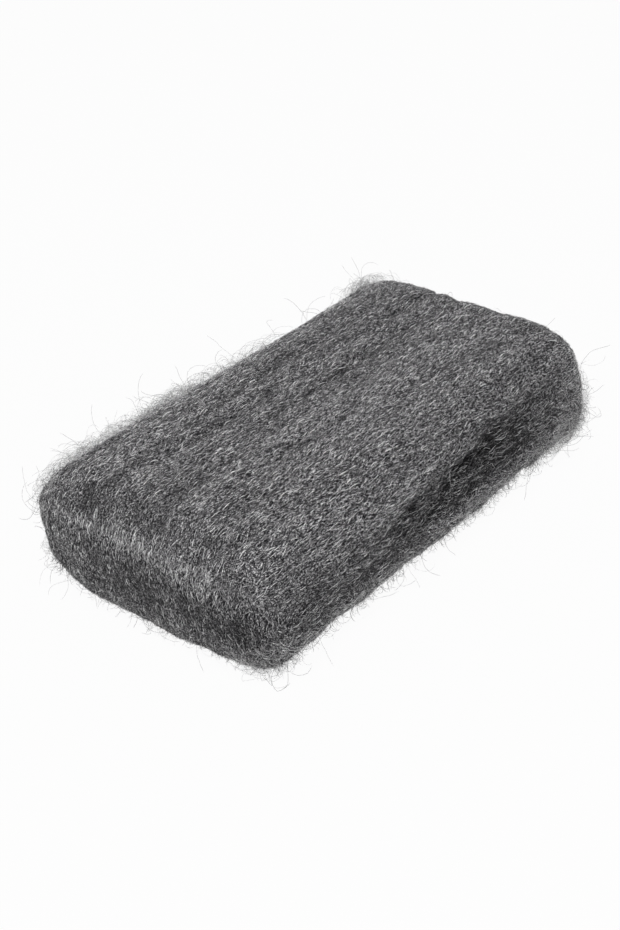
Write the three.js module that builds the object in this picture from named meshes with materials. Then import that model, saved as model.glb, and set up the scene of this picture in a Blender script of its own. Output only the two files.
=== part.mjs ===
// Steel wool scrubbing pad: one ribbon of steel wool rolled flat into a soft block.
// Millimetres, +Z up. X runs along the pad and Y across it. The origin is the middle of the foot, on the
// surface that the pad lies on.
import * as THREE from 'three';

// The block, measured over its strands as it lies uncompressed
const PAD_LENGTH = 102;
const PAD_WIDTH = 57;
const PAD_HEIGHT = 26;

// How far each rounding reaches in from the outside: along the pad at a folded end, across it at a long side
const FOLD_DEPTH = 9;
const SIDE_DEPTH = 13.5;

// The share by which the folded ends bulge more in their upper half, and less in their lower half
const OVERHANG = 0.1;

// Creases between the ribbon's turns, alike on both long sides: one broad hollow and two slits. The level, and how
// far a crease opens above and below it, are shares of the height, and the slope is the level gained from mid
// length to the +X end. The middle and the reach are shares of half the length: a crease is deepest at its middle
// and closes at its reach from there.
const SIDE_CREASES = [
  { level: 0.51, slope: 0.05, above: 0.23, below: 0.1, depth: 2.6, middle: 0.15, reach: 1.25 },
  { level: 0.6, slope: 0.13, above: 0.07, below: 0.05, depth: 1.6, middle: 0.25, reach: 0.7 },
  { level: 0.41, slope: 0.08, above: 0.05, below: 0.05, depth: 1.3, middle: 0.2, reach: 0.6 },
];

// The hollow across both folded ends, where the outer turn is tucked in below
const FOLD_CREASE = { level: 0.4, above: 0.2, below: 0.2, depth: 1.3 };

// Bundles of strands, which stand as shallow ridges over the top and round the folded ends. The shallowest
// furrow is a share of the deepest, and the waves are how often a furrow swells and fades along the pad.
const RIDGE_PITCH = 5.5;
const FURROW_DEPTH = 0.7;
const SHALLOWEST_FURROW = 0.2;
const FURROW_WAVES = 1.5;

// Facets
const SIDE_RINGS = 15;
const COLUMNS_PER_RIDGE = 6;
const STEPS_PER_FOLD = 12;
const STEPS_PER_RUN = 20;

const HALF_LENGTH = PAD_LENGTH / 2;
const HALF_HEIGHT = PAD_HEIGHT / 2;
const HALF_RUN = HALF_LENGTH - FOLD_DEPTH;
const HALF_TOP = PAD_WIDTH / 2 - SIDE_DEPTH;
const RIDGES_PER_HALF = Math.max(1, Math.round(HALF_TOP / RIDGE_PITCH));

const TOP_COLUMNS = 2 * COLUMNS_PER_RIDGE * RIDGES_PER_HALF;
const RINGS = 2 * SIDE_RINGS + TOP_COLUMNS;
const HALF_LAP = STEPS_PER_FOLD + STEPS_PER_RUN;
const LAP = 2 * HALF_LAP;

// Where a step of the lap round the roll lies: up the -X fold, along the top, down the +X fold and back
// along the foot. run is the place along the straight stretch, bulge the way out over a fold, and rise the
// height, each from -1 to 1.
function lapAt(step) {
  const side = step % LAP < HALF_LAP ? 1 : -1;
  const half = step % HALF_LAP;
  if (half < STEPS_PER_FOLD) {
    const angle = Math.PI * (half / STEPS_PER_FOLD - 0.5);
    const rise = side * Math.sin(angle);
    return { run: -side, bulge: -side * Math.cos(angle) * (1 + OVERHANG * rise), rise };
  }
  const along = (half - STEPS_PER_FOLD) / STEPS_PER_RUN;
  return { run: side * (2 * along - 1), bulge: 0, rise: side };
}

// The ring round the roll at a count from the +Y side to the -Y side: its size from 0 at the centre line to
// 1 at the outer turn, its place across the pad, and how many ridges it lies from the middle of the top.
function ringAt(count) {
  const fromSide = Math.min(count, RINGS - count);
  if (fromSide < SIDE_RINGS) {
    const size = fromSide / SIDE_RINGS;
    const outward = HALF_TOP + SIDE_DEPTH * Math.sqrt(1 - size * size);
    return { size, across: count === fromSide ? outward : -outward, ridge: 0 };
  }
  const across = HALF_TOP * (1 - (2 * (count - SIDE_RINGS)) / TOP_COLUMNS);
  return { size: 1, across, ridge: (RIDGES_PER_HALF * Math.abs(across)) / HALF_TOP };
}

// How deep a crease is at a share of the height above its level, or below it where that is negative
function creaseDepth({ above, below, depth }, off) {
  const opening = off > 0 ? above : below;
  return depth * Math.exp(-((off / opening) ** 2));
}

// How far the layers' edges are drawn in at a place along a long side, from -1 to 1, and a share of the height
function sideCreaseAt(along, level) {
  let depth = 0;
  for (const crease of SIDE_CREASES) {
    const closing = Math.max(0, 1 - Math.abs(along - crease.middle) / crease.reach);
    depth += closing * creaseDepth(crease, level - crease.level - crease.slope * along);
  }
  return depth;
}

// How far the top lies below its ridges, a number of ridges from the middle and at a place along the run
function furrowAt(ridge, run) {
  const phase = 2 * Math.PI * ridge;
  const unevenness = (1 + Math.sin(phase / Math.E + FURROW_WAVES * Math.PI * run)) / 2;
  const depth = FURROW_DEPTH * (SHALLOWEST_FURROW + (1 - SHALLOWEST_FURROW) * unevenness);
  return (depth * (1 - Math.cos(phase))) / 2;
}

// The pad's surface at a step of the lap and a count of rings. Furrows fade out half way down the folds.
function surfacePoint(step, count) {
  const { run, bulge, rise } = lapAt(step);
  const { size, across, ridge } = ringAt(count);
  const girth = size - (furrowAt(ridge, run) / HALF_HEIGHT) * Math.max(0, rise);
  const level = (1 + rise * girth) / 2;
  const fold = FOLD_DEPTH - creaseDepth(FOLD_CREASE, level - FOLD_CREASE.level);
  const x = run * HALF_RUN + bulge * girth * fold;
  const crease = size < 1 ? sideCreaseAt(x / HALF_LENGTH, level) : 0;
  return [x, across - Math.sign(across) * crease, PAD_HEIGHT * level];
}

// A sheet wrapped round the roll, and pinched shut along the middle of each long side. The creases and the overhang
// change its size a little, so it is brought back to the size given.
function rolledPad() {
  const geometry = new THREE.PlaneGeometry(1, 1, LAP, RINGS);
  const position = geometry.attributes.position;
  for (let index = 0; index < position.count; index += 1) {
    const step = index % (LAP + 1);
    const count = Math.floor(index / (LAP + 1));
    position.setXYZ(index, ...surfacePoint(step, count));
  }
  geometry.computeBoundingBox();
  const size = geometry.boundingBox.getSize(new THREE.Vector3());
  geometry.scale(PAD_LENGTH / size.x, PAD_WIDTH / size.y, PAD_HEIGHT / size.z);
  geometry.computeVertexNormals();
  return geometry;
}

const steelWool = new THREE.MeshStandardMaterial({ color: '#626162', roughness: 0.45, metalness: 0.9 });

const pad = new THREE.Mesh(rolledPad(), steelWool);
pad.name = 'steel_wool_pad';

const scrubber = new THREE.Group();
scrubber.add(pad);

export default scrubber;
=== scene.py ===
import math
from dataclasses import dataclass

import bmesh
import bpy
import numpy as np
from mathutils import Matrix, Vector, noise
from mathutils.bvhtree import BVHTree


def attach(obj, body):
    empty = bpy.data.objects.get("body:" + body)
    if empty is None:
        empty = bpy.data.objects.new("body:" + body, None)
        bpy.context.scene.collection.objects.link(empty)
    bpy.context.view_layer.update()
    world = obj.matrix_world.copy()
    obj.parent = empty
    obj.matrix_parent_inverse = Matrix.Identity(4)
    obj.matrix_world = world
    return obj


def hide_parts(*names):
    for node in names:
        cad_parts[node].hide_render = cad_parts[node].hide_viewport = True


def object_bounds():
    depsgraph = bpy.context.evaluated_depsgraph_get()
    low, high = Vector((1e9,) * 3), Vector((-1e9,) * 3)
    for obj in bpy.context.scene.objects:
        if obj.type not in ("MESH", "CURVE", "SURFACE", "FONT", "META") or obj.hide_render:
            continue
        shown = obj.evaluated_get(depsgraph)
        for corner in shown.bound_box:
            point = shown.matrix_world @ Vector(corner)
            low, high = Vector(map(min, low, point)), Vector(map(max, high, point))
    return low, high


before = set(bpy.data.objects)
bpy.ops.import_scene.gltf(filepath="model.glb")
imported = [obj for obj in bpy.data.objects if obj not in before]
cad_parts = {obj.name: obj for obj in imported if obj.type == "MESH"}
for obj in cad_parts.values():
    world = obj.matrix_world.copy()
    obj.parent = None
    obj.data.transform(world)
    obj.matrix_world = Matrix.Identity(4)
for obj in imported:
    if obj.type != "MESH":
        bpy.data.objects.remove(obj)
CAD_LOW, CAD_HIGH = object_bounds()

# Steel wool pad: a ribbon of fine steel strands, rolled flat. A matted body fills the form, and tens of
# thousands of separate strands lie on it along the ribbon. Metres, with sizes written in millimetres.
MM = 0.001
PAD_NODE = "steel_wool_pad"
BODY = "root"
SEED = 20

# The roll: its turns lie round a straight line at mid height, and turn back round its two ends. Round an end,
# the ribbon stops running lengthwise at the first angle and runs upright from the second, in degrees.
FOLD_DEPTH = 9 * MM
RUN_END = CAD_HIGH.x - FOLD_DEPTH
MID_HEIGHT = CAD_HIGH.z / 2
LENGTHWISE_TO = 25
UPRIGHT_FROM = 65

# How much more the skin faces across the pad than along it where the ribbon runs straight along a long side
SIDE_FACING = 0.5

# The matted body. Its colour is painted darker with the depth under a sheet drawn tight round the pad, as
# painted shade that fades by a factor of e in each LIGHT_DEPTH.
FACET_WELD = 0.001 * MM
MATTED_VOXEL = 0.75 * MM
MATTED_INSET = 0.15 * MM
MATTED_SMOOTHING = 7
LIGHT_DEPTH = 1.5 * MM

# Its relief, as (length along the ribbon, width across it, height): streaks and tangles of strands
RELIEF = (
    (40 * MM, 4 * MM, 0.5 * MM),
    (6 * MM, 1.6 * MM, 0.22 * MM),
)

# Bundles that part from each other in the creases, as (length, width, share of the crease's depth)
BUNDLES = (
    (9 * MM, 1.7 * MM, 0.7),
    (4 * MM, 0.9 * MM, 0.5),
)

# Its denser and thinner places, as (length along the ribbon, width across it, share of the brightness)
SHADES = (
    (60 * MM, 1.6 * MM, 0.32),
    (8 * MM, 3 * MM, 0.1),
)

# The lowest layer's cut edge on the long sides, frayed below FRAY_HEIGHT. It frays where the skin faces
# across the pad: not at all below the first share of FRAY_FACING, and wholly above the second.
FRAY_HEIGHT = 11 * MM
FRAY_FADE = 3 * MM
FRAY_DEPTH = 0.7 * MM
FRAY_LENGTH = 4.5 * MM
FRAY_FACING = (0.2, 0.6)
# How much brighter the frayed edge is painted, as painted light caught by its loose strands
FRAY_PAINTED_LIGHT = 1.45

# The hem where the pad meets the surface that it lies on, with the share of its fuzz that the folds have
HEM_HEIGHT = 3.5 * MM
HEM_SPREAD = 3 * MM
FOLD_FUZZ = 0.25


@dataclass
class Tone:
    """How bright strands are: from darkest to brightest at random, with more dark ones the greater the power
    gloom is. The body's painted shade dims them by the power shading, and the painted highlight on the near
    fold's crest adds to them by its own share."""

    darkest: float
    brightest: float
    gloom: float = 1
    shading: float = 0
    highlighting: float = 0


@dataclass
class Strand:
    """A sort of strand: the points on its line, its least and greatest length, its radius, the angle in
    radians by which it bends from one point to the next, and its tone. One that is laid on the body also has
    its greatest height over it, and how much of a crease's depth it spans."""

    points: int
    shortest: float
    longest: float
    radius: float
    bend: float
    tone: Tone
    lift: float = 0.0
    spanning: float = 0.0


PLAIN = Tone(0.1, 0.92, gloom=1.3, shading=0.75, highlighting=0.55)

# The real strands are 0.025 to 0.1 mm thick, half a pixel of the photograph at most. These lie on the top
# and the foot, are drawn along the long sides, and are turned round the folds.
LAID = Strand(3, 0.9 * MM, 3.2 * MM, 0.026 * MM, 0.03, PLAIN, lift=0.25 * MM)
DRAWN = Strand(3, 1.0 * MM, 3.6 * MM, 0.025 * MM, 0.03, PLAIN, lift=0.25 * MM)
TURNED = Strand(3, 0.9 * MM, 3.2 * MM, 0.029 * MM, 0.05, PLAIN, lift=0.3 * MM)

# Strands coloured near white among those, as painted glints, strands across the creases, and ones that
# arch away from the edges
GLINT = Strand(4, 1.0 * MM, 3.2 * MM, 0.035 * MM, 0.04, Tone(0.95, 1.35, shading=0.5), lift=0.35 * MM)
BRIDGE = Strand(4, 1.2 * MM, 4 * MM, 0.022 * MM, 0.04, Tone(0, 1.2, gloom=2), lift=0.2 * MM, spanning=0.7)
LOOP = Strand(7, 3 * MM, 9 * MM, 0.017 * MM, 0.12, Tone(0.2, 1), lift=2.6 * MM)

# Short curls along the hem and the frayed edges, and long ends that have worked loose
FUZZ = Strand(6, 1.2 * MM, 3.6 * MM, 0.026 * MM, 0.6, Tone(0.1, 0.9))
LOOSE = Strand(11, 2.5 * MM, 10 * MM, 0.018 * MM, 0.35, Tone(0, 0.6))

# The pieces of strands that cover the pad face by face: which way the face looks, the sort of strand, how
# many to the square millimetre, and how many degrees they stray from the ribbon. A frayed edge adds to that.
FACES = {
    "top_strands": ((0, 0, 1), LAID, 6.5, 11),
    "front_strands": ((0, -1, 0), DRAWN, 8.5, 10),
    "back_strands": ((0, 1, 0), DRAWN, 8.5, 10),
    "near_fold_strands": ((-1, 0, 0), TURNED, 7.0, 30),
    "far_fold_strands": ((1, 0, 0), TURNED, 7.0, 30),
    "foot_strands": ((0, 0, -1), LAID, 1.2, 18),
}
FRAYED_STRAY = 20

# The pieces laid over those: the sort of strand, how many, and how many degrees they stray from the ribbon
LAID_OVER = {
    "glint_strands": (GLINT, 2500, 11),
    "bridge_strands": (BRIDGE, 2600, 8),
    "loop_strands": (LOOP, 1800, 40),
}

# The pieces that curl away from the pad: the sort of strand, how many, and how much they stand off
CURLED_AWAY = {
    "fuzz_strands": (FUZZ, 6000, 0.35),
    "loose_strands": (LOOSE, 520, 0.6),
}

# How often strands of those pieces start from a place, beside a tuft: along the hem, on a frayed edge, or
# anywhere. Glints start more often from the painted highlight on the near fold's crest, and from places
# painted brighter, than from others. The underside, where the skin faces down by more than UNDERSIDE, has
# none of them.
CREST_GLINTS = 7
HEM_LOOPS = 0.1
FRAYED_FUZZ = 0.3
HEM_ENDS = 0.35
STRAY_ENDS = 0.02
UNDERSIDE = -0.6

# How strands are drawn. Their starts are scattered, and the ends of a laid strand are tucked into the body.
# A hair of play keeps two points of a line from falling together, where a curve would drop one of them.
SCATTER = 0.4 * MM
TUCK = 0.15 * MM
PLAY = 0.01 * MM
LOOSE_ROOM = 5 * MM
FLOOR_CLEARANCE = 0.1 * MM
CORNERS = 3
TIP_WELD = 0.0001 * MM

# How uneven they are: the least and the greatest share of a sort's thickness, of how much it stands off and
# of how much it curls, and how much a strand wavers at each point, as a share of its bend
THICKNESS_SHARES = (0.6, 1.4)
OUTWARD_SHARES = (0.2, 1.8)
CURL_SHARES = (0.5, 1.5)
LAID_WAVER = 1 / 2
CURLED_WAVER = 1 / 3

# Streaks on the pad, each from one place to another, with its spread, in millimetres, and its strength.
# These are painted shade in its furrows, hollows and crease gaps and at its corners, or painted lighter if
# the strength is less than 0.
SHADE_STREAKS = (
    ((-46, 10, 25.6), (8, 14, 25.6), 1.2, 0.45),  # furrow along the top
    ((-14, -22.5, 23), (34, -23.5, 23), 1.3, 0.1),  # furrow along the top's front edge
    ((-47, 16, 23.5), (-47, -14, 23.5), 3.0, 0.2),  # upper edge of the near fold
    ((-48, 12, 24), (-46, 12, 25), 2.5, 0.25),  # its back corner
    ((-48, -22, 12), (-38, -27, 15), 5.0, 0.25),  # near corner, at mid height
    ((40, -26, 9), (48, -23, 18), 5.0, -0.6),  # far corner
    ((-50, 2, 13), (-50, -14, 13), 5.0, 0.22),  # hollow across the near fold
    ((-47, -19, 23), (-47, -22, 22), 3.0, 0.2),  # near corner, at the top
    ((-44, -26, 21), (-10, -26, 21), 3.0, -0.1),  # long side, above its crease
    ((-49, -17, 12), (-47, -21, 11), 3.0, 0.3),  # end of the near fold's hollow
    ((-24, -9, 26), (32, -11, 26), 4.0, -0.15),  # middle of the top
    ((1, -25.5, 15.9), (8, -25.2, 15.7), 2.2, 0.4),  # gap in the crease
    ((15, -26, 15.6), (21, -26, 16), 2.2, 0.4),  # another gap in it
)

# Painted highlight along the crest of the near fold, where its strands curve over and catch the lamps
CREST_HIGHLIGHT = (
    ((-50.4, 13, 19), (-50.4, 10, 19), 2.1, 0.45),
    ((-50.2, 4, 19.5), (-50.2, -4, 19), 2.1, 0.7),
    ((-50.1, -10, 18.5), (-50.1, -15, 18.5), 2.1, 0.65),
)

# Where strands have worked loose
TUFTS = (
    ((-46, 23, 20), (-34, 25, 22), 3, 0.5),  # back edge, by the near fold
    ((-30, 26, 21), (8, 26, 21), 3, 0.3),  # along the back edge
    ((-22, 26, 22), (-16, 26, 22), 3, 0.7),  # thickest there
    ((39, 22, 22), (41, 22, 22), 3, 0.7),  # back corner of the far fold
    ((40, -27, 8), (50, -20, 12), 4, 0.8),  # far corner
    ((-46, -24, 3), (-40, -25, 3), 3, 0.8),  # near corner, at the hem
)

# The marks in the steel: the length of a strand's facets and how much they lighten or darken it, and the
# lines in the matted wool, which cross the ribbon's way by LINE_CROSSING degrees to either side
FACET_LENGTH = 0.28 * MM
FACET_SHADE = 0.5
LINE_LENGTH = 0.8 * MM
LINE_WIDTH = 0.2 * MM
LINE_CROSSING = 18

# The range that a smooth noise mostly keeps to
NOISE_LOW = 0.3
NOISE_HIGH = 0.7

# The studio: half the floor's side, how far it is lifted to white where it is seen, and the room's strength
FLOOR_REACH = 3.0
FLOOR_LIFT = 0.96
ROOM_STRENGTH = 0.28

# Square soft lamps, as azimuth and elevation in degrees, distance and side in metres, and power in watts
LAMPS = {
    "key_lamp": (-54, 56, 0.7, 0.3, 4.7),
    "back_lamp": (130, 40, 0.8, 0.5, 0.8),
}

# The photograph's view: where the camera stands, in degrees, what it looks at, and its focal length in
# pixels, with the sensor in millimetres
VIEW_AZIMUTH = -49.5
VIEW_ELEVATION = 32.1
VIEW_ROLL = -2.9
VIEW_DISTANCE = 287.7 * MM
AIM_HEIGHT = 10.2 * MM
AIM_RIGHT = -3.2 * MM
FOCAL_PIXELS = 1550
PICTURE_LONG_SIDE = 930
SENSOR = 36
NEAREST_SEEN = 0.01
FARTHEST_SEEN = 20.0


def linear(colour):
    """An sRGB hex colour such as "#8a8a8c" as linear RGBA."""
    values = [int(colour[k:k + 2], 16) / 255 for k in (1, 3, 5)]
    return [v / 12.92 if v <= 0.04045 else ((v + 0.055) / 1.055) ** 2.4 for v in values] + [1.0]


def add_node(tree, kind, inputs=None, stops=(), **settings):
    """Adds a node of that kind. An input's value is a plain value, or the output socket that feeds it. A
    colour ramp has stops, as (place, hex colour)."""
    node = tree.nodes.new(kind)
    for name, value in settings.items():
        setattr(node, name, value)
    for name, value in (inputs or {}).items():
        if isinstance(value, bpy.types.NodeSocket):
            tree.links.new(value, node.inputs[name])
        else:
            node.inputs[name].default_value = value
    for index, (place, colour) in enumerate(stops):
        ramp = node.color_ramp.elements
        stop = ramp[index] if index < len(ramp) else ramp.new(place)
        stop.position = place
        stop.color = linear(colour)
    return node


def bare_material(name):
    """A material with an empty tree."""
    material = bpy.data.materials.new(name)
    material.use_nodes = True
    material.node_tree.nodes.clear()
    return material


def shaved_steel_strand():
    """Shaved mild steel wire: bright where the knife left it smooth, dull grey along its torn edges. It is
    less metallic than bare steel, because strands in a mass mirror each other more than the light."""
    material = bare_material("shaved_steel_strand")
    tree = material.node_tree
    tone = add_node(tree, "ShaderNodeAttribute", attribute_name="strand_tone").outputs["Fac"]
    place = add_node(tree, "ShaderNodeTexCoord").outputs["Object"]
    facets = add_node(tree, "ShaderNodeTexNoise", {"Vector": place, "Scale": 1 / FACET_LENGTH, "Detail": 1.0})
    shade = add_node(
        tree,
        "ShaderNodeMapRange",
        {
            "Value": facets.outputs["Fac"],
            "From Min": NOISE_LOW,
            "From Max": NOISE_HIGH,
            "To Min": -FACET_SHADE,
            "To Max": FACET_SHADE,
        },
    )
    shaded = add_node(tree, "ShaderNodeMath", {0: tone, 1: shade.outputs["Result"]}, operation="ADD")
    colour = add_node(
        tree,
        "ShaderNodeValToRGB",
        {"Fac": shaded.outputs["Value"]},
        stops=((0.05, "#2a2a2b"), (0.4, "#6c6b6d"), (0.7, "#bebdbe"), (0.95, "#ffffff")),
    )
    steel = add_node(
        tree,
        "ShaderNodeBsdfPrincipled",
        {
            "Base Color": colour.outputs["Color"],
            "Specular IOR Level": 0.0,
            "Metallic": 0.35,
            "Roughness": 0.34,
        },
    )
    add_node(tree, "ShaderNodeOutputMaterial", {"Surface": steel.outputs["BSDF"]})
    return material


def matted_steel_wool():
    """The mass of strands under the loose ones: bright wire edges over black gaps, in fine crossing lines
    along the ribbon, and painted darker where it lies deep, as painted shade. The lines are a little coarser
    than the real ones, so that they show."""
    material = bare_material("matted_steel_wool")
    tree = material.node_tree
    place = add_node(tree, "ShaderNodeTexCoord").outputs["Object"]
    painted_light_and_tone = add_node(tree, "ShaderNodeAttribute", attribute_name="painted_light_and_tone").outputs["Fac"]
    folded = add_node(tree, "ShaderNodeAttribute", attribute_name="folded").outputs["Fac"]
    crossed = []
    for size, turn_axis in (
        ((LINE_LENGTH, LINE_WIDTH, LINE_WIDTH), (0, 0, 1)),
        ((LINE_WIDTH, LINE_WIDTH, LINE_LENGTH), (1, 0, 0)),
    ):
        drawn = []
        for crossing in (-LINE_CROSSING, LINE_CROSSING):
            turn = [math.radians(crossing) * part for part in turn_axis]
            laid = add_node(
                tree,
                "ShaderNodeMapping",
                {"Vector": place, "Rotation": turn, "Scale": size},
                vector_type="TEXTURE",
            )
            lines = add_node(
                tree, "ShaderNodeTexNoise", {"Vector": laid.outputs["Vector"], "Scale": 1.0, "Detail": 1.0}
            )
            drawn.append(lines.outputs["Fac"])
        crossed.append(add_node(tree, "ShaderNodeMath", {0: drawn[0], 1: drawn[1]}, operation="MAXIMUM"))
    lengthwise, upright = (way.outputs["Value"] for way in crossed)
    turned = add_node(tree, "ShaderNodeMath", {0: folded, 1: lengthwise}, operation="GREATER_THAN")
    topmost = add_node(
        tree,
        "ShaderNodeMix",
        {"Factor": turned.outputs["Value"], "A": lengthwise, "B": upright},
        data_type="FLOAT",
    ).outputs["Result"]
    colour = add_node(
        tree,
        "ShaderNodeValToRGB",
        {"Fac": topmost},
        stops=((0.45, "#141416"), (0.6, "#525153"), (0.75, "#c8c7c8")),
    )
    # Painted shade and light: the colour is mixed towards near black as the body's painted brightness falls
    shaded = add_node(
        tree,
        "ShaderNodeMix",
        {"Factor": painted_light_and_tone, "A": linear("#080808"), "B": colour.outputs["Color"]},
        data_type="RGBA",
    )
    bump = add_node(tree, "ShaderNodeBump", {"Height": topmost, "Strength": 0.8, "Distance": LINE_WIDTH})
    wool = add_node(
        tree,
        "ShaderNodeBsdfPrincipled",
        {
            "Base Color": shaded.outputs["Result"],
            "Specular IOR Level": 0.0,
            "Metallic": 0.35,
            "Roughness": 0.42,
            "Normal": bump.outputs["Normal"],
        },
    )
    add_node(tree, "ShaderNodeOutputMaterial", {"Surface": wool.outputs["BSDF"]})
    return material


def piece(name, mesh, material):
    """An object at the origin with that mesh and material, riding on the pad's body."""
    mesh.name = name
    mesh.materials.clear()
    mesh.materials.append(material)
    made = bpy.data.objects.new(name, mesh)
    bpy.context.collection.objects.link(made)
    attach(made, BODY)
    return made


def evaluated_mesh(source):
    """The mesh that an object's modifiers or curve settings give."""
    return bpy.data.meshes.new_from_object(source.evaluated_get(bpy.context.evaluated_depsgraph_get()))


def set_attribute(mesh, name, values):
    """Gives each vertex its own named value."""
    mesh.attributes.new(name, "FLOAT", "POINT").data.foreach_set("value", np.asarray(values, np.float32))


def get_attribute(mesh, name):
    """The named value of each vertex."""
    return np.array([point.value for point in mesh.attributes[name].data])


def eased(value, start, end):
    """0 before start, 1 after end, and a smooth rise between them."""
    share = np.clip((value - start) / (end - start), 0.0, 1.0)
    return share * share * (3 - 2 * share)


def unit(vectors):
    """Vectors brought to a length of 1, except any that has no length."""
    return vectors / np.maximum(np.linalg.norm(vectors, axis=1, keepdims=True), 1e-9)


def flattened(vectors, normals):
    """Directions laid flat on a surface with those normals."""
    return unit(vectors - normals * np.sum(vectors * normals, axis=1, keepdims=True))


def off_roll_line(places):
    """How far places lie past the ends of the roll's middle line, and how far above it."""
    along = places[:, 0]
    return along - np.clip(along, -RUN_END, RUN_END), places[:, 2] - MID_HEIGHT


def folded_at(places):
    """How far the ribbon has turned at places on the pad, from 0, lengthwise, to 1, upright on a fold."""
    past, rise = off_roll_line(places)
    turned = np.arctan2(np.abs(past), np.abs(rise))
    return eased(turned, math.radians(LENGTHWISE_TO), math.radians(UPRIGHT_FROM))


def along_ribbon(places, normals):
    """The way the ribbon was wound at places on the skin: lengthwise, and round at the folds."""
    past, rise = off_roll_line(places)
    sideways = eased(np.abs(normals[:, 1]) - np.abs(normals[:, 0]), 0.0, SIDE_FACING)
    wound = unit(np.column_stack((rise, np.zeros(len(rise)), -past))) * (1 - sideways[:, None])
    wound[:, 0] += sideways * np.where(rise < 0, -1.0, 1.0)
    return flattened(wound, normals)


def drawn_out_noise(place, folded, layers):
    """A sum of smooth noises drawn out along the ribbon, each as (length, width, height)."""
    total = 0.0
    for length, width, height in layers:
        lengthwise = noise.noise(Vector((place.x / length, place.y / width, place.z / width)))
        upright = noise.noise(Vector((place.x / width, place.y / width, place.z / length)))
        total += height * ((1 - folded) * lengthwise + folded * upright)
    return total


def near(places, streaks):
    """How strongly each place belongs to streaks given as (start, end, spread, strength), in millimetres."""
    total = np.zeros(len(places))
    for start, end, spread, strength in streaks:
        way = np.subtract(end, start)
        off = places / MM - np.array(start)
        along = np.clip(off @ way / (way @ way), 0.0, 1.0)
        distance = np.linalg.norm(off - along[:, None] * way, axis=1) / spread
        total += strength * np.exp(-distance * distance)
    return total


def fray_at(place, normal):
    """How frayed the lowest layer's edge is at a place on a long side, from 0 to 1."""
    return eased(abs(normal.y), *FRAY_FACING) * (1 - eased(place.z, FRAY_HEIGHT - FRAY_FADE, FRAY_HEIGHT))


def melted_pad():
    """The pad's solid with its facets melted into an even, soft skin."""
    melt = bmesh.new()
    melt.from_mesh(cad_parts[PAD_NODE].data)
    bmesh.ops.remove_doubles(melt, verts=melt.verts, dist=FACET_WELD)
    mesh = bpy.data.meshes.new("melted")
    melt.to_mesh(mesh)
    melt.free()
    blank = bpy.data.objects.new("melted", mesh)
    bpy.context.collection.objects.link(blank)
    remesh = blank.modifiers.new("even_skin", "REMESH")
    remesh.mode = "VOXEL"
    remesh.voxel_size = MATTED_VOXEL
    smooth = blank.modifiers.new("soften", "SMOOTH")
    smooth.iterations = MATTED_SMOOTHING
    soft = evaluated_mesh(blank)
    bpy.data.objects.remove(blank)
    return soft


def tight_sheet(mesh):
    """A sheet drawn tight round a mesh, to measure the depth of its creases from."""
    sheet = bmesh.new()
    for vertex in mesh.vertices:
        sheet.verts.new(vertex.co)
    bmesh.ops.convex_hull(sheet, input=sheet.verts)
    tree = BVHTree.FromBMesh(sheet)
    sheet.free()
    return tree


def matted_mesh():
    """The pad's skin, raised in streaks and tangles along the ribbon.

    Its brightness attribute holds how bright the wool is painted at a point: painted shade in the hollows and
    dark streaks, painted light on the frayed edges and light streaks, and its own denser and thinner places.
    Of the other attributes, frayed is 1 at the frayed edges, folded is 1 where the ribbon runs upright, and
    hollow is the depth under a sheet drawn tight round the pad."""
    soft = melted_pad()
    sheet = tight_sheet(soft)
    normals = [vertex.normal.copy() for vertex in soft.vertices]
    places = np.array([vertex.co for vertex in soft.vertices])
    folded = folded_at(places)
    painted_light_and_tone = []
    frayed = []
    hollows = []
    for vertex, normal, fold, streak_shade in zip(soft.vertices, normals, folded, near(places, SHADE_STREAKS)):
        place = vertex.co.copy()
        *_, hollow = sheet.find_nearest(place)
        relief = drawn_out_noise(place, fold, RELIEF) + hollow * drawn_out_noise(place, fold, BUNDLES)
        fray = fray_at(place, normal)
        ragged = noise.noise(place / FRAY_LENGTH)
        vertex.co += normal * (relief - MATTED_INSET - FRAY_DEPTH * fray * ragged)
        vertex.co.z = max(vertex.co.z, FLOOR_CLEARANCE)
        # Painted shade, darker the deeper the wool lies under the sheet, and painted light on the frayed edge
        depth = max(0.0, hollow - relief)
        lit = max(math.exp(-depth / LIGHT_DEPTH), FRAY_PAINTED_LIGHT * fray)
        painted_light_and_tone.append(lit * (1 - streak_shade) * (1 + drawn_out_noise(place, fold, SHADES)))
        frayed.append(fray)
        hollows.append(hollow)
    set_attribute(soft, "painted_light_and_tone", painted_light_and_tone)
    set_attribute(soft, "frayed", frayed)
    set_attribute(soft, "folded", folded)
    set_attribute(soft, "hollow", hollows)
    soft.shade_smooth()
    return soft


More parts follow.
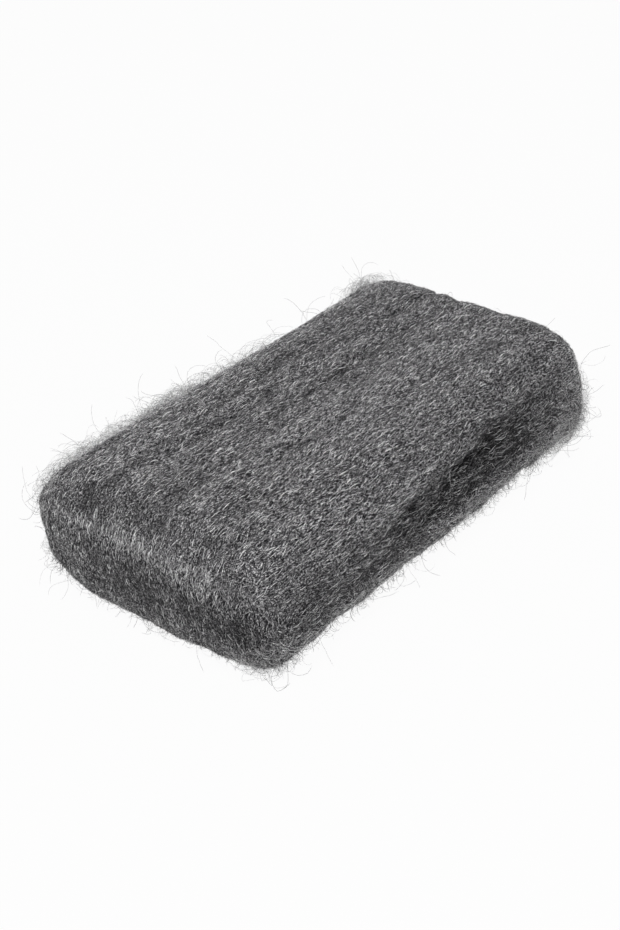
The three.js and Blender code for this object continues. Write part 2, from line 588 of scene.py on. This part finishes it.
class Skin:
    """The matted body's surface, for laying strands on."""

    def __init__(self, mesh):
        self.tree = BVHTree.FromPolygons([v.co for v in mesh.vertices], [p.vertices for p in mesh.polygons])
        self.centres = np.array([p.center for p in mesh.polygons])
        self.normals = np.array([p.normal for p in mesh.polygons])
        self.areas = np.array([p.area for p in mesh.polygons])
        first = [p.vertices[0] for p in mesh.polygons]
        self.painted_light_and_tone = get_attribute(mesh, "painted_light_and_tone")[first]
        self.frayed = get_attribute(mesh, "frayed")[first]
        self.hollow = get_attribute(mesh, "hollow")[first]
        # Painted highlight on the near fold's crest
        self.crest_highlight = near(self.centres, CREST_HIGHLIGHT)

    def facing(self, way):
        """Which faces look that way more than along any other axis."""
        axis = int(np.argmax(np.abs(way)))
        leading = np.argmax(np.abs(self.normals), axis=1) == axis
        return leading & (self.normals[:, axis] * way[axis] > 0)

    def hem(self):
        """How fuzzy each face is by its height, most where the pad meets the surface that it lies on."""
        off = (self.centres[:, 2] - HEM_HEIGHT) / HEM_SPREAD
        return np.exp(-off * off) * np.maximum(self.frayed, FOLD_FUZZ)

    def weights(self):
        """How often strands start from each face, for the pieces that aren't laid face by face."""
        seen = self.normals[:, 2] > UNDERSIDE
        hem = self.hem()
        tufted = near(self.centres, TUFTS)
        return {
            "glint_strands": seen * (self.painted_light_and_tone + CREST_GLINTS * self.crest_highlight),
            "bridge_strands": seen * self.hollow,
            "loop_strands": seen * (HEM_LOOPS * hem + tufted),
            "fuzz_strands": seen * (hem + FRAYED_FUZZ * self.frayed + tufted),
            "loose_strands": seen * (STRAY_ENDS + HEM_ENDS * hem + tufted),
        }

    def starts(self, rng, count, weights):
        """Faces picked at random, as often as each face's area times its weight says."""
        chance = self.areas * weights
        return rng.choice(len(chance), count, p=chance / chance.sum())

    def nearest(self, places):
        """Each place moved onto the surface, with the normal there."""
        found = [self.tree.find_nearest(place)[:2] for place in places]
        return np.array([f[0] for f in found]), np.array([f[1] for f in found])

    def set_out(self, rng, picked):
        """Where strands leave the picked faces: places, the normals there, and the ways along and across the
        ribbon."""
        places, normals = self.nearest(self.centres[picked] + rng.normal(0, SCATTER, (len(picked), 3)))
        along = along_ribbon(places, normals)
        return places, normals, along, np.cross(normals, along)

    def tones(self, rng, picked, tone):
        """How bright each strand is that leaves the picked faces."""
        # Strands are dimmed by the body's painted shade and brightened by the crest's painted highlight
        drawn = rng.uniform(tone.darkest, tone.brightest, len(picked)) ** tone.gloom
        return drawn * self.painted_light_and_tone[picked] ** tone.shading + tone.highlighting * self.crest_highlight[picked]


def lay_strands(skin, rng, picked, sort, stray):
    """Centre lines of strands that run along the ribbon from the picked faces, both ends tucked in.

    stray is the angle in degrees by which each of them may turn from the ribbon."""
    count = len(picked)
    places, normals, along, across = skin.set_out(rng, picked)
    turn = rng.normal(0, 1, (count, 1)) * np.radians(stray)
    heading = np.cos(turn) * along + np.sin(turn) * across
    bend = rng.normal(0, sort.bend, (count, 1))
    pace = rng.uniform(sort.shortest, sort.longest, (count, 1)) / (sort.points - 1)
    height = (sort.lift + sort.spanning * skin.hollow[picked, None]) * rng.uniform(0, 1, (count, 1))
    lines = np.empty((count, sort.points, 3))
    for step in range(sort.points):
        tucked = (2 * step / (sort.points - 1) - 1) ** 2
        lines[:, step] = places + normals * (height * (1 - tucked) - TUCK * tucked)
        swerve = bend + rng.normal(0, LAID_WAVER * sort.bend, (count, 1))
        heading = unit(heading + swerve * np.cross(normals, heading))
        places, normals = skin.nearest(places + heading * pace)
        heading = flattened(heading, normals)
    return lines


def curl_strands(skin, rng, picked, sort, outward):
    """Centre lines of strands that leave the picked faces and curl away, within LOOSE_ROOM of the pad.

    outward is how much they stand off."""
    count = len(picked)
    places, normals, along, across = skin.set_out(rng, picked)
    turn = rng.uniform(0, 2 * np.pi, (count, 1))
    heading = np.cos(turn) * along + np.sin(turn) * across
    heading = unit(heading + normals * outward * rng.uniform(*OUTWARD_SHARES, (count, 1)))
    curl_axis = unit(rng.normal(0, 1, (count, 3)))
    curl = sort.bend * rng.uniform(*CURL_SHARES, (count, 1))
    pace = rng.uniform(sort.shortest, sort.longest, (count, 1)) / (sort.points - 1)
    lines = np.empty((count, sort.points, 3))
    for step in range(sort.points):
        lines[:, step] = places
        places = places + heading * pace
        swerve = curl * np.cross(curl_axis, heading) + rng.normal(0, CURLED_WAVER * sort.bend, (count, 3))
        heading = unit(heading + swerve)
    return np.clip(lines, np.array(CAD_LOW) - LOOSE_ROOM, np.array(CAD_HIGH) + LOOSE_ROOM)


def strand_section(radius):
    """The three-cornered cross-section of a shaved strand, as a curve object to draw along its line."""
    section = bpy.data.curves.new("section", "CURVE")
    corners = section.splines.new("POLY")
    corners.points.add(CORNERS - 1)
    corners.use_cyclic_u = True
    for index, corner in enumerate(corners.points):
        turn = 2 * math.pi * index / CORNERS
        corner.co = (radius * math.cos(turn), radius * math.sin(turn), 0, 1)
    drawn = bpy.data.objects.new("section", section)
    bpy.context.collection.objects.link(drawn)
    return drawn


def strand_mesh(rng, lines, tones, radius):
    """Closed strands along the centre lines, pointed at both ends, each with its own tone."""
    count, points = lines.shape[:2]
    lines = lines + rng.normal(0, PLAY, lines.shape)
    lines[:, :, 2] = np.maximum(lines[:, :, 2], FLOOR_CLEARANCE)
    section = strand_section(radius)
    curve = bpy.data.curves.new("strands", "CURVE")
    curve.dimensions = "3D"
    curve.bevel_mode = "OBJECT"
    curve.bevel_object = section
    taper = np.ones(points)
    taper[[0, -1]] = 0.0
    for line, thickness in zip(lines, rng.uniform(*THICKNESS_SHARES, count)):
        spline = curve.splines.new("POLY")
        spline.points.add(points - 1)
        spline.points.foreach_set("co", np.column_stack((line, np.ones(points))).ravel())
        spline.points.foreach_set("radius", thickness * taper)
    drawn = bpy.data.objects.new("strands", curve)
    bpy.context.collection.objects.link(drawn)
    mesh = evaluated_mesh(drawn)
    for done in (drawn, section):
        bpy.data.objects.remove(done)
    set_attribute(mesh, "strand_tone", np.repeat(tones, CORNERS * points))
    closed = bmesh.new()
    closed.from_mesh(mesh)
    bmesh.ops.remove_doubles(closed, verts=closed.verts, dist=TIP_WELD)
    closed.to_mesh(mesh)
    closed.free()
    mesh.shade_smooth()
    return mesh


def strand_lines(skin, rng):
    """The strands of one piece after another, as (name of the piece, sort, faces picked, centre lines)."""
    for name, (way, sort, density, stray) in FACES.items():
        where = skin.facing(way)
        count = int(density * skin.areas[where].sum() / MM ** 2)
        picked = skin.starts(rng, count, where * skin.painted_light_and_tone)
        strays = stray + FRAYED_STRAY * skin.frayed[picked, None]
        yield name, sort, picked, lay_strands(skin, rng, picked, sort, strays)
    weights = skin.weights()
    for name, (sort, count, stray) in LAID_OVER.items():
        picked = skin.starts(rng, count, weights[name])
        yield name, sort, picked, lay_strands(skin, rng, picked, sort, stray)
    for name, (sort, count, outward) in CURLED_AWAY.items():
        picked = skin.starts(rng, count, weights[name])
        yield name, sort, picked, curl_strands(skin, rng, picked, sort, outward)


def steel_wool_pad():
    """The matted body and the strands that cover it, by where they lie."""
    matted = piece("pad_body", matted_mesh(), matted_steel_wool())
    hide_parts(PAD_NODE)
    skin = Skin(matted.data)
    rng = np.random.default_rng(SEED)
    steel = shaved_steel_strand()
    for name, sort, picked, lines in strand_lines(skin, rng):
        tones = skin.tones(rng, picked, sort.tone)
        piece(name, strand_mesh(rng, lines, tones, sort.radius), steel)


def is_background_ray(tree):
    """1 for the rays that show the background: straight to the camera, or by way of a shiny surface."""
    ray = add_node(tree, "ShaderNodeLightPath").outputs
    seen = add_node(
        tree, "ShaderNodeMath", {0: ray["Is Camera Ray"], 1: ray["Is Glossy Ray"]}, operation="MAXIMUM"
    )
    return add_node(
        tree,
        "ShaderNodeMath",
        {0: seen.outputs["Value"], 1: ray["Is Transmission Ray"]},
        operation="MAXIMUM",
    ).outputs["Value"]


def white_sweep_paper():
    """Matt white paper, lifted to nearly pure white where it is seen, so that only a soft shadow shows."""
    material = bare_material("white_sweep_paper")
    tree = material.node_tree
    paper = add_node(tree, "ShaderNodeBsdfDiffuse", {"Color": linear("#b8b8b8")})
    white = add_node(tree, "ShaderNodeEmission", {"Color": linear("#ffffff"), "Strength": 1.0})
    seen = is_background_ray(tree)
    lifted = add_node(tree, "ShaderNodeMath", {0: seen, 1: FLOOR_LIFT}, operation="MULTIPLY")
    mixed = add_node(
        tree,
        "ShaderNodeMixShader",
        {"Fac": lifted.outputs["Value"], 1: paper.outputs["BSDF"], 2: white.outputs["Emission"]},
    )
    add_node(tree, "ShaderNodeOutputMaterial", {"Surface": mixed.outputs["Shader"]})
    return material


def studio_floor():
    """The sheet of paper that the pad lies on."""
    sweep = bmesh.new()
    bmesh.ops.create_grid(sweep, x_segments=1, y_segments=1, size=FLOOR_REACH)
    mesh = bpy.data.meshes.new("floor")
    sweep.to_mesh(mesh)
    sweep.free()
    mesh.materials.append(white_sweep_paper())
    floor = bpy.data.objects.new("floor", mesh)
    bpy.context.collection.objects.link(floor)


def view_direction(azimuth, elevation):
    """From the pad towards a viewer, by angles in degrees: azimuth 0 looks along +Y."""
    turn, tilt = math.radians(azimuth), math.radians(elevation)
    return Vector((math.sin(turn) * math.cos(tilt), -math.cos(turn) * math.cos(tilt), math.sin(tilt)))


def studio_light():
    """An even white room, with a soft lamp above the camera and a weaker one behind the pad."""
    world = bpy.data.worlds.new("white_room")
    bpy.context.scene.world = world
    world.use_nodes = True
    tree = world.node_tree
    tree.nodes.clear()
    strength = add_node(
        tree,
        "ShaderNodeMapRange",
        {"Value": is_background_ray(tree), "To Min": ROOM_STRENGTH, "To Max": 1.0},
    )
    room = add_node(
        tree,
        "ShaderNodeBackground",
        {"Color": linear("#ffffff"), "Strength": strength.outputs["Result"]},
    )
    add_node(tree, "ShaderNodeOutputWorld", {"Surface": room.outputs["Background"]})
    for name, (azimuth, elevation, distance, side, power) in LAMPS.items():
        lamp = bpy.data.lights.new(name, "AREA")
        lamp.size = side
        lamp.energy = power
        stand = bpy.data.objects.new(name, lamp)
        away = view_direction(azimuth, elevation)
        stand.location = away * distance
        stand.rotation_euler = away.to_track_quat("Z", "Y").to_euler()
        bpy.context.collection.objects.link(stand)


def photograph_camera():
    """The camera where the photograph was taken from."""
    camera = bpy.data.cameras.new("photograph_camera")
    camera.sensor_width = SENSOR
    camera.lens = SENSOR * FOCAL_PIXELS / PICTURE_LONG_SIDE
    camera.clip_start = NEAREST_SEEN
    camera.clip_end = FARTHEST_SEEN
    stand = bpy.data.objects.new("photograph_camera", camera)
    away = view_direction(VIEW_AZIMUTH, VIEW_ELEVATION)
    upright = away.to_track_quat("Z", "Y").to_matrix()
    right = upright.col[0]
    aim = Vector((0, 0, AIM_HEIGHT)) + right * AIM_RIGHT
    turned = upright @ Matrix.Rotation(math.radians(VIEW_ROLL), 3, "Z")
    stand.matrix_world = Matrix.Translation(aim + away * VIEW_DISTANCE) @ turned.to_4x4()
    bpy.context.collection.objects.link(stand)
    bpy.context.scene.camera = stand


steel_wool_pad()
studio_floor()
studio_light()
photograph_camera()
bpy.context.scene.view_settings.view_transform = "Standard"
